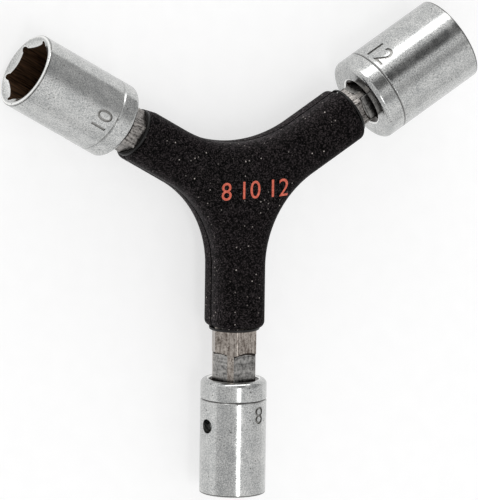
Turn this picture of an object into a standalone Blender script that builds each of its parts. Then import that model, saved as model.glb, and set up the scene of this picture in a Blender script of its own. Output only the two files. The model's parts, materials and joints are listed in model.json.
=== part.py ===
"""Y wrench: a moulded two-half grip, a steel core of three bars, and three plug-on sockets.

The wrench lies flat. The origin is on the flat back of the grip, behind the point where the
three arm axes meet. +Z points out of the front of the grip, and the 8 mm arm points to -Y.
"""

import math

import bmesh
import bpy
from mathutils import Matrix, Vector

MM = 0.001

# Steel bars
BAR_ACROSS_FLATS = 7.5 * MM
MITRE_GAP = 0.3 * MM
DRIVE_SQUARE = 6.3 * MM
DRIVE_REACH = 10.1 * MM
DRIVE_TIP_CHAMFER = 0.9 * MM
MILL_RADIUS = 6.7 * MM
SHANK_SHOWN_8 = 9.05 * MM
SHANK_SHOWN_10 = 3.9 * MM
SHANK_SHOWN_12 = 2.95 * MM
FLATS_SHOWN_8 = 5.05 * MM
FLATS_SHOWN_10 = 1.5 * MM
FLATS_SHOWN_12 = 1.9 * MM

# Weld beads in the inner corners of the bars
BEAD_RADIUS = 1.4 * MM
BEAD_HALF_HEIGHT = 2.9 * MM
BEAD_FIT = 0.2 * MM

# Moulded grip
ARM_LENGTH_8 = 24.5 * MM
ARM_LENGTH_10 = 24.1 * MM
ARM_LENGTH_12 = 26.1 * MM
GRIP_SIDE_WALL = 0.38 * MM
GRIP_FACE_WALL = 0.52 * MM
GRIP_FIT = 0.15 * MM
GRIP_EDGE_RADIUS = 3.45 * MM
GRIP_END_RADIUS = 1.15 * MM
TOP_SADDLE_RADIUS = 22.9 * MM
SIDE_SADDLE_RADIUS = 18.6 * MM
SEAM_WIDTH = 0.3 * MM
PEG_LENGTH = 1.4 * MM
PEG_FIT = 0.15 * MM
PEG_SHARE = 0.25

# Collars on the shanks
COLLAR_LENGTH = 0.45 * MM
COLLAR_WALL = 0.15 * MM
COLLAR_FIT = 0.1 * MM
COLLAR_GAP = 0.1 * MM
COLLAR_EDGE = 0.2 * MM

# Spring-loaded detent
DETENT_FROM_TIP = 1.8 * MM
BALL_DIAMETER = 2.5 * MM
BALL_STAND_OUT = 0.12 * MM
BALL_FIT = 0.2 * MM
DETENT_FLOOR_WALL = 1.1 * MM
SPRING_WIRE = 0.32 * MM
SPRING_SEAT_GAP = 0.12 * MM
SPRING_TURNS = 3

# Sockets
SOCKET_LENGTH = 21.0 * MM
SOCKET_8_DIAMETER = 12.0 * MM
SOCKET_10_DIAMETER = 14.0 * MM
SOCKET_12_DIAMETER = 16.1 * MM
SOCKET_8_NUT = 8.0 * MM
SOCKET_10_NUT = 10.0 * MM
SOCKET_12_NUT = 12.0 * MM
NUT_FIT = 0.12 * MM
NUT_DEPTH = 9.75 * MM
NUT_CORNER_RELIEF = 0.2 * MM
NUT_CORNER_ROUND = 0.7 * MM
DRIVE_FIT = 0.18 * MM
DRIVE_CORNER_TRIM = 0.35 * MM
DRIVE_END_GAP = 0.6 * MM
DRIVE_MOUTH_DIAMETER = 9.1 * MM
DRIVE_MOUTH_DEPTH = 0.85 * MM
NUT_MOUTH_WIDENING = 0.2 * MM
NUT_MOUTH_DEPTH = 1.0 * MM
THROUGH_DIAMETER = 5.6 * MM
DETENT_HOLE_DIAMETER = 2.6 * MM
DRIVE_EDGE_RADIUS = 0.95 * MM
MOUTH_EDGE_CHAMFER = 0.3 * MM
GROOVE_FROM_DRIVE_FACE = 3.63 * MM
GROOVE_WIDTH = 0.4 * MM
GROOVE_DEPTH = 0.18 * MM

# How far each bar and its socket are turned about the arm, in degrees
SHANK_TURN_8 = -9.0
SHANK_TURN_10 = -10.0
SHANK_TURN_12 = 5.0

# The flat of the square that holds the ball: 1 is the local +Y side and -1 the other one
DETENT_SIDE_8 = 1
DETENT_SIDE_10 = -1
DETENT_SIDE_12 = 1

# A cutter runs past the surface that it opens by this much
OVERRUN = 1.0 * MM

HEX_SIDES = 6
ROUND_SIDES = 64
HOLE_SIDES = 24
BALL_SEGMENTS = 16
BALL_RINGS = 8
SADDLE_STEPS = 14
CORNER_STEPS = 5
EDGE_STEPS = 6
SPRING_STEPS = 10

HEX_COSINE = math.cos(math.pi / HEX_SIDES)
BAR_CORNER_RADIUS = BAR_ACROSS_FLATS / 2 / HEX_COSINE
GRIP_HALF_WIDTH = BAR_CORNER_RADIUS + GRIP_FIT + GRIP_SIDE_WALL
GRIP_HALF_THICKNESS = BAR_CORNER_RADIUS + GRIP_FIT + GRIP_FACE_WALL
CENTRE = Vector((0, 0, GRIP_HALF_THICKNESS))
COLLAR_RADIUS = BAR_CORNER_RADIUS + COLLAR_FIT + COLLAR_WALL
ARM_SPACING = math.radians(120)
HALF_SPACING = ARM_SPACING / 2


class Arm:
    """One arm of the Y: where it points, its bar and its socket."""

    def __init__(self, name, degrees, length, turn, detent_side, shank_shown, flats_shown,
                 diameter, nut, saddle):
        self.name = name
        self.angle = math.radians(degrees)
        self.length = length
        self.turn = math.radians(turn)
        self.detent_side = detent_side
        self.collar_start = length + COLLAR_GAP
        self.drive_face = self.collar_start + COLLAR_LENGTH + shank_shown
        self.flats_start = self.drive_face - flats_shown
        self.tip = self.drive_face + DRIVE_REACH
        self.radius = diameter / 2
        self.nut_apothem = nut / 2 + NUT_FIT
        self.nut_reach = self.nut_apothem / HEX_COSINE + NUT_CORNER_RELIEF
        self.saddle_before = saddle

    def frame(self):
        """Local Z runs out along the arm and local X faces the front, turned with the bar."""
        out = Vector((math.cos(self.angle), math.sin(self.angle), 0))
        front = Vector((0, 0, 1))
        columns = Matrix((front, out.cross(front), out)).transposed().to_4x4()
        return Matrix.Translation(CENTRE) @ columns @ Matrix.Rotation(self.turn, 4, "Z")

    def place(self, along):
        return self.frame() @ Matrix.Translation((0, 0, along))


ARMS = (
    Arm("12", 30, ARM_LENGTH_12, SHANK_TURN_12, DETENT_SIDE_12, SHANK_SHOWN_12,
        FLATS_SHOWN_12, SOCKET_12_DIAMETER, SOCKET_12_NUT, SIDE_SADDLE_RADIUS),
    Arm("10", 150, ARM_LENGTH_10, SHANK_TURN_10, DETENT_SIDE_10, SHANK_SHOWN_10,
        FLATS_SHOWN_10, SOCKET_10_DIAMETER, SOCKET_10_NUT, TOP_SADDLE_RADIUS),
    Arm("8", 270, ARM_LENGTH_8, SHANK_TURN_8, DETENT_SIDE_8, SHANK_SHOWN_8,
        FLATS_SHOWN_8, SOCKET_8_DIAMETER, SOCKET_8_NUT, SIDE_SADDLE_RADIUS),
)


def clear_scene():
    for item in list(bpy.data.objects):
        bpy.data.objects.remove(item)


def material(name, colour, roughness, metallic):
    made = bpy.data.materials.new(name)
    made.use_nodes = True
    shader = made.node_tree.nodes["Principled BSDF"]
    shader.inputs["Base Color"].default_value = (*colour, 1)
    shader.inputs["Roughness"].default_value = roughness
    shader.inputs["Metallic"].default_value = metallic
    return made


def add_object(name, mesh, matrix, look=None):
    """An object with a look is a piece; one without is a cutter and stays out of the model."""
    made = bpy.data.objects.new(name, mesh)
    bpy.context.collection.objects.link(made)
    made.matrix_world = matrix
    if look is None:
        made.hide_render = True
        made.display_type = "WIRE"
    else:
        mesh.materials.append(look)
    return made


def mesh_from(name, bm):
    bmesh.ops.recalc_face_normals(bm, faces=bm.faces)
    mesh = bpy.data.meshes.new(name)
    bm.to_mesh(mesh)
    bm.free()
    return mesh


def polygon(radius, sides, start=0.0):
    """Corners of a regular polygon of that corner radius."""
    step = 2 * math.pi / sides
    return [(radius * math.cos(start + step * i), radius * math.sin(start + step * i))
            for i in range(sides)]


def hexagon(across_flats):
    """A hexagon with a flat facing local X."""
    return polygon(across_flats / 2 / HEX_COSINE, HEX_SIDES, math.pi / HEX_SIDES)


def trimmed_square(side, trim):
    """A square with a flat facing local X, its corners trimmed off."""
    half = side / 2
    along = half - trim
    corner = [(half, along), (along, half)]
    points = []
    for _ in range(4):
        points += corner
        corner = [(-y, x) for x, y in corner]
    return points


def nut_outline(arm):
    """The nut's hexagon, a flat facing local X, with each corner relieved in a small round."""
    centre_reach = arm.nut_reach - NUT_CORNER_ROUND
    to_flat = arm.nut_apothem - centre_reach * HEX_COSINE
    spread = math.pi / HEX_SIDES + math.acos(to_flat / NUT_CORNER_ROUND)
    points = []
    for x, y in polygon(centre_reach, HEX_SIDES, math.pi / HEX_SIDES):
        facing = math.atan2(y, x)
        points += arc((x, y), NUT_CORNER_ROUND, facing - spread, facing + spread, CORNER_STEPS)
    return points


def prism(name, outline, low, high):
    """A straight solid on an outline, from low to high along Z."""
    bm = bmesh.new()
    base = bm.faces.new([bm.verts.new((x, y, low)) for x, y in outline])
    grown = bmesh.ops.extrude_face_region(bm, geom=[base])
    top = [v for v in grown["geom"] if isinstance(v, bmesh.types.BMVert)]
    bmesh.ops.translate(bm, verts=top, vec=(0, 0, high - low))
    return mesh_from(name, bm)


def turned(name, profile, sides=ROUND_SIDES):
    """A turned solid. The profile's points are (radius, height), and it ends on the axis."""
    bm = bmesh.new()
    points = [bm.verts.new((radius, 0, height)) for radius, height in profile]
    edges = [bm.edges.new(pair) for pair in zip(points, points[1:])]
    bmesh.ops.spin(bm, geom=points + edges, cent=(0, 0, 0), axis=(0, 0, 1),
                   angle=2 * math.pi, steps=sides, use_merge=True)
    bmesh.ops.remove_doubles(bm, verts=bm.verts, dist=MM / 1000)
    mesh = mesh_from(name, bm)
    mesh.shade_smooth()
    mesh.set_sharp_from_angle(angle=math.radians(25))
    return mesh


def cut(target, cutter, operation="DIFFERENCE"):
    modifier = target.modifiers.new(cutter.name, "BOOLEAN")
    modifier.operation = operation
    modifier.solver = "EXACT"
    modifier.object = cutter


def arc(centre, radius, start, end, steps):
    """Points along an arc in the plane, with both ends."""
    angles = [start + (end - start) * i / steps for i in range(steps + 1)]
    return [(centre[0] + radius * math.cos(a), centre[1] + radius * math.sin(a)) for a in angles]


def grip_outline(inset, end_inset):
    """Outline of the Y, drawn in by inset along its sides and end_inset at the arm ends."""
    half = GRIP_HALF_WIDTH - inset
    points = []
    for arm in ARMS:
        out = Vector((math.cos(arm.angle), math.sin(arm.angle)))
        left = Vector((-out.y, out.x))
        saddle_centre = saddle_point(arm, GRIP_HALF_WIDTH + arm.saddle_before)
        quarter = math.pi / 2
        points += arc(saddle_centre, arm.saddle_before + inset,
                      arm.angle + quarter + HALF_SPACING, arm.angle + quarter, SADDLE_STEPS)
        corner_along = out * (arm.length - end_inset - GRIP_END_RADIUS)
        corner_across = left * (half - GRIP_END_RADIUS)
        points += arc(corner_along - corner_across, GRIP_END_RADIUS,
                      arm.angle - quarter, arm.angle, CORNER_STEPS)
        points += arc(corner_along + corner_across, GRIP_END_RADIUS,
                      arm.angle, arm.angle + quarter, CORNER_STEPS)
    return points


def saddle_point(arm, off_axis):
    """The point before the arm, on the line between it and its neighbour, at off_axis from both."""
    along = off_axis / math.sin(HALF_SPACING)
    between = arm.angle - HALF_SPACING
    return Vector((math.cos(between), math.sin(between))) * along


def grip_layers():
    """Height and outline of each layer of a grip half, from the seam to the flat face."""
    layers = [(SEAM_WIDTH / 2, 0, 0)]
    for i in range(EDGE_STEPS + 1):
        turn = math.pi / 2 * i / EDGE_STEPS
        inset = GRIP_EDGE_RADIUS * (1 - math.cos(turn))
        height = GRIP_HALF_THICKNESS - GRIP_EDGE_RADIUS * (1 - math.sin(turn))
        rise = max(0, height - GRIP_HALF_THICKNESS + GRIP_END_RADIUS)
        end_inset = GRIP_END_RADIUS - math.sqrt(GRIP_END_RADIUS ** 2 - rise ** 2)
        layers.append((height, inset, end_inset))
    return [(height, grip_outline(inset, end_inset)) for height, inset, end_inset in layers]


def grip_half(name, look, side):
    """One half of the grip, a stack of outlines; side is 1 for the front and -1 for the rear."""
    bm = bmesh.new()
    rings = []
    for height, outline in grip_layers():
        rings.append([bm.verts.new((x, y, side * height)) for x, y in outline])
    for lower, upper in zip(rings, rings[1:]):
        for i in range(len(lower)):
            j = (i + 1) % len(lower)
            bm.faces.new((lower[i], lower[j], upper[j], upper[i]))
    bm.faces.new(rings[0])
    bm.faces.new(rings[-1])
    mesh = mesh_from(name, bm)
    mesh.shade_smooth()
    mesh.set_sharp_from_angle(angle=math.radians(30))
    return add_object(name, mesh, Matrix.Translation(CENTRE), look)


def web_place(arm):
    """Middle and width of the plastic web between the bead before the arm and the saddle."""
    skin = (GRIP_HALF_WIDTH + arm.saddle_before) / math.sin(HALF_SPACING) - arm.saddle_before
    inner = bead_reach() + GRIP_FIT
    between = arm.angle - HALF_SPACING
    direction = Vector((math.cos(between), math.sin(between), 0))
    return CENTRE + direction * (inner + skin) / 2, skin - inner


def bead_centre():
    return BAR_CORNER_RADIUS / math.sin(HALF_SPACING) - BEAD_RADIUS / 2


def bead_reach():
    return bead_centre() + BEAD_RADIUS


def ellipsoid(name, radius, half_height):
    bm = bmesh.new()
    bmesh.ops.create_uvsphere(bm, u_segments=BALL_SEGMENTS, v_segments=BALL_RINGS, radius=1)
    bmesh.ops.scale(bm, verts=bm.verts, vec=(radius, radius, half_height))
    return mesh_from(name, bm)


def bead_matrix(arm):
    between = arm.angle - HALF_SPACING
    offset = Vector((math.cos(between), math.sin(between), 0)) * bead_centre()
    return Matrix.Translation(CENTRE + offset)


def channel_cutter(arm, clearance, name):
    """Space taken by a bar, wider by the clearance all round. It starts behind the centre."""
    outline = hexagon(BAR_ACROSS_FLATS + 2 * clearance)
    start = -BAR_CORNER_RADIUS / 2
    return add_object(name, prism(name, outline, start, arm.length + OVERRUN), arm.frame())


def make_grip(look):
    front = grip_half("grip_front", look, 1)
    rear = grip_half("grip_rear", look, -1)
    for arm in ARMS:
        channel = channel_cutter(arm, GRIP_FIT, "cut_channel_" + arm.name)
        pocket_mesh = ellipsoid("cut_bead_" + arm.name, BEAD_RADIUS + GRIP_FIT,
                                BEAD_HALF_HEIGHT + GRIP_FIT)
        pocket = add_object("cut_bead_" + arm.name, pocket_mesh, bead_matrix(arm))
        for half in (front, rear):
            cut(half, channel)
            cut(half, pocket)
        add_peg(front, rear, arm)


def add_peg(front, rear, arm):
    """A peg on the front half that enters a hole in the rear half."""
    place, web = web_place(arm)
    radius = web * PEG_SHARE
    top = SEAM_WIDTH / 2 + PEG_LENGTH
    name = "peg_" + arm.name
    peg = add_object(name, prism(name, polygon(radius, HOLE_SIDES), -top, top),
                     Matrix.Translation(place))
    name = "cut_peg_" + arm.name
    hole_outline = polygon(radius + PEG_FIT, HOLE_SIDES)
    hole = add_object(name, prism(name, hole_outline, -top - PEG_FIT, 0),
                      Matrix.Translation(place))
    cut(front, peg, "UNION")
    cut(rear, hole)


def make_weld_beads(look):
    """A rounded bead in each inner corner, shaped by the bars beside it."""
    before = ARMS[-1]
    for arm in ARMS:
        name = "weld_bead_" + before.name + "_" + arm.name
        bead = add_object(name, ellipsoid(name, BEAD_RADIUS, BEAD_HALF_HEIGHT),
                          bead_matrix(arm), look)
        for side in (before, arm):
            cut(bead, channel_cutter(side, BEAD_FIT, "cut_" + name + "_" + side.name))
        before = arm


def mitred_bar(name, length):
    """Hexagon bar from the centre of the Y, pointed where it meets its two neighbours."""
    bm = bmesh.new()
    bm.from_mesh(prism(name, hexagon(BAR_ACROSS_FLATS), -BAR_ACROSS_FLATS, length))
    return bm


def mitre(bm, arm):
    """Cut the inner end to a point, half the weld gap off each plane between two bars."""
    upright = Matrix.Rotation(-arm.turn, 3, "Z")
    for side in (1, -1):
        normal = Vector((0, side * math.cos(HALF_SPACING), -math.sin(HALF_SPACING)))
        normal = upright @ normal
        parts = bm.verts[:] + bm.edges[:] + bm.faces[:]
        done = bmesh.ops.bisect_plane(bm, geom=parts, plane_co=-normal * MITRE_GAP / 2,
                                      plane_no=normal, clear_outer=True)
        rim = [e for e in done["geom_cut"] if isinstance(e, bmesh.types.BMEdge)]
        bmesh.ops.holes_fill(bm, edges=rim)


def mill_outline(arm):
    """Path of the end mill along one flat: a round end towards the grip, open at the tip."""
    reach = BAR_CORNER_RADIUS + OVERRUN
    centre = (0, arm.flats_start + MILL_RADIUS)
    half_turn = math.asin(min(1, reach / MILL_RADIUS))
    down = -math.pi / 2
    start = arc(centre, MILL_RADIUS, down - half_turn, down + half_turn, 2 * CORNER_STEPS)
    far = arm.tip + OVERRUN
    return start + [(reach, far), (-reach, far)]


def mill_cutter(arm, index):
    """Block that clears the metal outside one flat of the square."""
    name = "cut_flat_" + arm.name + "_" + str(index)
    depth = BAR_CORNER_RADIUS + OVERRUN
    mesh = prism(name, mill_outline(arm), DRIVE_SQUARE / 2, depth)
    lay_over = Matrix(((0, 0, 1, 0), (1, 0, 0, 0), (0, 1, 0, 0), (0, 0, 0, 1)))
    turn = Matrix.Rotation(math.pi / 2 * index, 4, "Z")
    return add_object(name, mesh, arm.frame() @ turn @ lay_over)


def tip_envelope(arm):
    """Turned shape that leaves a chamfer all round the tip of the square."""
    wide = BAR_CORNER_RADIUS + OVERRUN
    corner = BAR_CORNER_RADIUS
    name = "keep_tip_" + arm.name
    profile = [(0, -OVERRUN), (wide, -OVERRUN), (wide, arm.flats_start),
               (corner, arm.tip - DRIVE_TIP_CHAMFER),
               (corner - DRIVE_TIP_CHAMFER, arm.tip), (0, arm.tip)]
    return add_object(name, turned(name, profile), arm.frame())


def detent_place(arm):
    """Local Z points out of the flat that holds the ball, from the bar's axis."""
    outwards = Matrix.Rotation(-arm.detent_side * math.pi / 2, 4, "X")
    return arm.place(arm.tip - DETENT_FROM_TIP) @ outwards


def detent_floor():
    return DETENT_FLOOR_WALL - DRIVE_SQUARE / 2


def make_shank(arm, look):
    name = "hex_shank_" + arm.name
    bm = mitred_bar(name, arm.tip)
    mitre(bm, arm)
    shank = add_object(name, mesh_from(name, bm), arm.frame(), look)
    for index in range(4):
        cut(shank, mill_cutter(arm, index))
    cut(shank, tip_envelope(arm), "INTERSECT")
    bore_name = "cut_detent_" + arm.name
    outline = polygon(BALL_DIAMETER / 2 + BALL_FIT, HOLE_SIDES)
    bore = prism(bore_name, outline, detent_floor(), DRIVE_SQUARE / 2 + OVERRUN)
    cut(shank, add_object(bore_name, bore, detent_place(arm)))


def ball_centre():
    """Distance of the ball's centre from the bar's axis."""
    return DRIVE_SQUARE / 2 + BALL_STAND_OUT - BALL_DIAMETER / 2


def make_ball(arm, look):
    name = "detent_ball_" + arm.name
    bm = bmesh.new()
    bmesh.ops.create_uvsphere(bm, u_segments=BALL_SEGMENTS, v_segments=BALL_RINGS,
                              radius=BALL_DIAMETER / 2)
    mesh = mesh_from(name, bm)
    mesh.shade_smooth()
    add_object(name, mesh, detent_place(arm) @ Matrix.Translation((0, 0, ball_centre())), look)


def make_spring(arm, look):
    """Helix between the floor of the bore and the ball."""
    name = "detent_spring_" + arm.name
    low = detent_floor() + SPRING_SEAT_GAP + SPRING_WIRE / 2
    high = ball_centre() - BALL_DIAMETER / 2 - SPRING_SEAT_GAP - SPRING_WIRE / 2
    radius = (BALL_DIAMETER - SPRING_WIRE) / 2 - SPRING_SEAT_GAP
    curve = bpy.data.curves.new(name, "CURVE")
    curve.dimensions = "3D"
    curve.bevel_depth = SPRING_WIRE / 2
    curve.bevel_resolution = 1
    curve.use_fill_caps = True
    count = SPRING_TURNS * SPRING_STEPS + 1
    spline = curve.splines.new("POLY")
    spline.points.add(count - 1)
    for i in range(count):
        angle = 2 * math.pi * i / SPRING_STEPS
        height = low + (high - low) * i / (count - 1)
        spline.points[i].co = (radius * math.cos(angle), radius * math.sin(angle), height, 1)
    add_object(name, curve, detent_place(arm), look)


def make_collar(arm, look):
    """Thin round ring with a hexagon bore, on the shank against the end of the arm."""
    name = "end_collar_" + arm.name
    outer_edge = arc((COLLAR_RADIUS - COLLAR_EDGE, COLLAR_LENGTH - COLLAR_EDGE), COLLAR_EDGE,
                     0, math.pi / 2, CORNER_STEPS)
    profile = [(0, 0), (COLLAR_RADIUS, 0)] + outer_edge + [(0, COLLAR_LENGTH)]
    place = arm.place(arm.collar_start)
    collar = add_object(name, turned(name, profile), place, look)
    bore_name = "cut_collar_" + arm.name
    bore = prism(bore_name, hexagon(BAR_ACROSS_FLATS + 2 * COLLAR_FIT),
                 -OVERRUN, COLLAR_LENGTH + OVERRUN)
    cut(collar, add_object(bore_name, bore, place))


def socket_profile(arm):
    """Outer form and both mouths of a socket, from the drive end to the nut end."""
    edge_turn = math.pi / 2
    edge = arc((arm.radius - DRIVE_EDGE_RADIUS, DRIVE_EDGE_RADIUS), DRIVE_EDGE_RADIUS,
               -edge_turn, 0, CORNER_STEPS)
    groove = [(arm.radius, GROOVE_FROM_DRIVE_FACE - GROOVE_WIDTH / 2),
              (arm.radius - GROOVE_DEPTH, GROOVE_FROM_DRIVE_FACE),
              (arm.radius, GROOVE_FROM_DRIVE_FACE + GROOVE_WIDTH / 2)]
    mouth = [(arm.radius, SOCKET_LENGTH - MOUTH_EDGE_CHAMFER),
             (arm.radius - MOUTH_EDGE_CHAMFER, SOCKET_LENGTH),
             (arm.nut_reach + NUT_MOUTH_WIDENING, SOCKET_LENGTH),
             (arm.nut_apothem - NUT_MOUTH_WIDENING, SOCKET_LENGTH - NUT_MOUTH_DEPTH),
             (0, SOCKET_LENGTH - NUT_MOUTH_DEPTH)]
    start = [(0, DRIVE_MOUTH_DEPTH), (DRIVE_SQUARE / 2, DRIVE_MOUTH_DEPTH),
             (DRIVE_MOUTH_DIAMETER / 2, 0)]
    return start + edge + groove + mouth


def socket_cutters(arm):
    """The drive square, the nut hexagon, the way between them and the detent's cross hole."""
    place = arm.place(arm.drive_face)
    drive_depth = DRIVE_REACH + DRIVE_END_GAP
    nut_floor = SOCKET_LENGTH - NUT_DEPTH
    tag = arm.name
    drive_outline = trimmed_square(DRIVE_SQUARE + 2 * DRIVE_FIT, DRIVE_CORNER_TRIM)
    drive = prism("cut_drive_" + tag, drive_outline, -OVERRUN, drive_depth)
    nut = prism("cut_nut_" + tag, nut_outline(arm), nut_floor, SOCKET_LENGTH + OVERRUN)
    way = prism("cut_way_" + tag, polygon(THROUGH_DIAMETER / 2, HOLE_SIDES),
                drive_depth - OVERRUN, nut_floor + OVERRUN)
    hole = prism("cut_hole_" + tag, polygon(DETENT_HOLE_DIAMETER / 2, HOLE_SIDES),
                 0, arm.radius + OVERRUN)
    made = [add_object(mesh.name, mesh, place) for mesh in (drive, nut, way)]
    made.append(add_object(hole.name, hole, detent_place(arm)))
    return made


def make_socket(arm, look):
    name = "socket_" + arm.name
    body = add_object(name, turned(name, socket_profile(arm)),
                      arm.place(arm.drive_face), look)
    for cutter in socket_cutters(arm):
        cut(body, cutter)


def main():
    clear_scene()
    grip_black = material("grip_black", (0.012, 0.011, 0.011), 0.6, 0.0)
    collar_black = material("collar_black", (0.01, 0.01, 0.01), 0.5, 0.0)
    bar_steel = material("bar_steel", (0.42, 0.4, 0.37), 0.42, 1.0)
    weld_steel = material("weld_steel", (0.2, 0.19, 0.18), 0.6, 1.0)
    chrome = material("socket_chrome", (0.72, 0.73, 0.73), 0.16, 1.0)
    ball_steel = material("ball_steel", (0.6, 0.6, 0.6), 0.12, 1.0)
    spring_steel = material("spring_steel", (0.3, 0.3, 0.31), 0.35, 1.0)
    make_grip(grip_black)
    make_weld_beads(weld_steel)
    for arm in ARMS:
        make_shank(arm, bar_steel)
        make_collar(arm, collar_black)
        make_spring(arm, spring_steel)
        make_ball(arm, ball_steel)
        make_socket(arm, chrome)


main()
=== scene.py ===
import json
import math

import bmesh
import bpy
from mathutils import Matrix, Quaternion, Vector


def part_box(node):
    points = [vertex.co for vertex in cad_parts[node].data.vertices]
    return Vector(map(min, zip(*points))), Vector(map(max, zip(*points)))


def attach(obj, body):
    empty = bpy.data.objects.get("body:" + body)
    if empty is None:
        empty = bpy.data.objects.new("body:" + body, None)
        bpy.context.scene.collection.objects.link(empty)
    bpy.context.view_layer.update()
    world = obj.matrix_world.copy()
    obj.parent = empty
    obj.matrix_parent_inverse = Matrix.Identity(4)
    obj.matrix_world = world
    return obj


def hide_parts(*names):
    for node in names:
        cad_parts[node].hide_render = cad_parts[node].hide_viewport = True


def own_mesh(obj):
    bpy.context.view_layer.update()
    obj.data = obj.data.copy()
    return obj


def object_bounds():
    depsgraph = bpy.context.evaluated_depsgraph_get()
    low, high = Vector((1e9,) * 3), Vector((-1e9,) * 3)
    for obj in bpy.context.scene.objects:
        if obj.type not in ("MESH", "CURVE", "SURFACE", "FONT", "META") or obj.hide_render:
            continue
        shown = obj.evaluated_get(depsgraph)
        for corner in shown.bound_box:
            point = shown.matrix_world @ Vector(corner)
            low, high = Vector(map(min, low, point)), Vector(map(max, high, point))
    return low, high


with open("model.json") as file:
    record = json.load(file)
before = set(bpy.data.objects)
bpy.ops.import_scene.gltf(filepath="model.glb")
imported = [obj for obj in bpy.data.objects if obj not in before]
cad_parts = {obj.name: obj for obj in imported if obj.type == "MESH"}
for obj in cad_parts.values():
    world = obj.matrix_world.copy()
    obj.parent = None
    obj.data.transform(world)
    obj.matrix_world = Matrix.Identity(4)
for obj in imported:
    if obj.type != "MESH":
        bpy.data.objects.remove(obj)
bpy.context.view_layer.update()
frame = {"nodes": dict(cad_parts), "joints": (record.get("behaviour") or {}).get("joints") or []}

# The looks of the Y wrench. Lengths are in metres, written as millimetres times MM.
MM = 0.001

# Moulded grip
GRIP_HALF_WIDTH = 4.86 * MM
GRIP_EDGE_RADIUS = 3.45 * MM
GRIP_END_RADIUS = 1.15 * MM
# The sides get a painted grey sheen up to the first height from the seam, which fades out by the
# second
SIDE_SHEEN_FULL_TO = 1.5 * MM
SIDE_SHEEN_ENDS = 4.2 * MM
TOP_SADDLE_RADIUS = 22.9 * MM
SIDE_SADDLE_RADIUS = 18.6 * MM
SEAM_GAP = 0.16 * MM
SEAM_LIP = 0.14 * MM
CHANNEL_FIT = 0.15 * MM
BEAD_RADIUS = 1.4 * MM
BEAD_HALF_HEIGHT = 2.9 * MM
PEG_LENGTH = 1.4 * MM
PEG_FIT = 0.15 * MM
PEG_SHARE = 0.25

# Steel bars and the thin ring at the end of each arm
BAR_ACROSS_FLATS = 7.5 * MM
BAR_EDGE = 0.16 * MM
SHOULDER_FACING = 0.3
# Width of the line of painted shade along the mill's shoulders
SHOULDER_SHADE_LINE = 0.34 * MM
# The band of painted shade where a socket's mouth sits: its middle past the socket's end, half its
# width, its soft edge, how far its edge wanders, and how dark it is
SEAT_MIDDLE = 0.9 * MM
SEAT_HALF_BAND = 2.1 * MM
SEAT_FADE = 0.8 * MM
SEAT_RAGGED = 1.2 * MM
SEAT_SHADE = 0.75
DRIVE_SQUARE = 6.3 * MM
COLLAR_FIT = 0.1 * MM
COLLAR_GAP = 0.1 * MM
COLLAR_EDGE = 0.2 * MM

# Detent
BALL_DIAMETER = 2.5 * MM
SPRING_WIRE = 0.32 * MM
SPRING_TURNS = 3

# Sockets
NUT_FIT = 0.12 * MM
NUT_DEPTH = 9.75 * MM
NUT_CORNER_RELIEF = 0.2 * MM
NUT_CORNER_ROUND = 0.7 * MM
NUT_MOUTH_WIDENING = 0.2 * MM
NUT_MOUTH_DEPTH = 1.0 * MM
DRIVE_FIT = 0.18 * MM
DRIVE_CORNER_TRIM = 0.35 * MM
DRIVE_DEPTH = 10.7 * MM
DRIVE_MOUTH_DIAMETER = 9.1 * MM
DRIVE_MOUTH_DEPTH = 0.85 * MM
DRIVE_LIP_RADIUS = 0.25 * MM
THROUGH_DIAMETER = 5.6 * MM
DETENT_HOLE_DIAMETER = 2.6 * MM
DRIVE_EDGE_RADIUS = 0.95 * MM
MOUTH_EDGE_RADIUS = 0.3 * MM
GROOVE_FROM_DRIVE_FACE = 3.63 * MM
GROOVE_WIDTH = 0.4 * MM
GROOVE_DEPTH = 0.18 * MM
GROOVE_SHOULDER = 0.05 * MM
WALL_EDGE_RING = 0.06 * MM
WALL_RING_SPACING = 0.8 * MM

# Painted shade on the sockets, 1 is full: in each groove, and a painted dark reflection along the
# nut mouth's outer edge in a line of this width. The edge where the mouth meets the hexagon gets a
# painted highlight at this share
GROOVE_SHADE = {"8": 1.0, "10": 0.3, "12": 0.8}
RIM_DARK_REFLECTION = 0.8
RIM_LINE = 0.15 * MM
NUT_EDGE_HIGHLIGHT = 0.55

# Size marks, struck into the sockets with their tops towards the mouth: the height of a digit, its
# distance from the drive face, and the angle round the socket. A digit of the typeface fills this
# share of the text size
DIGIT_SHARE = 0.73
MARK_DEPTH = 0.2 * MM
MARKS = {
    "8": (3.3 * MM, 4.6 * MM, -22.0),
    "10": (3.3 * MM, 4.7 * MM, -15.0),
    "12": (3.9 * MM, 4.4 * MM, -65.0),
}

# Printed numbers on the front of the grip
PRINT_TEXT = "8 10 12"
PRINT_PLACE = (1.2 * MM, -0.5 * MM)
PRINT_HEIGHT = 4.6 * MM
PRINT_FILM = 0.02 * MM

# The curves are drawn with this many steps
HEX_SIDES = 6
TURNED_SIDES = 144
HOLE_SIDES = 48
SADDLE_STEPS = 44
CORNER_STEPS = 8
EDGE_STEPS = 14
LIP_STEPS = 3
SPRING_STEPS = 24
WIRE_SIDES = 10
NUMBER_LEVEL = 3

# Faces under the first angle to each other are one flat face. Wear takes off the bars' edges over
# the second, and edges over the others are shaded sharp
FLAT_ANGLE = math.radians(1)
WORN_ANGLE = math.radians(25)
SHARP_ANGLE = math.radians(30)
BAR_SHARP_ANGLE = math.radians(20)
WIRE_SHARP_ANGLE = math.radians(40)

# A cutter runs past the surface that it opens by this much
OVERRUN = 1.0 * MM
MERGE_DISTANCE = 0.001 * MM
RAY_LENGTH = 1.0

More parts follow.
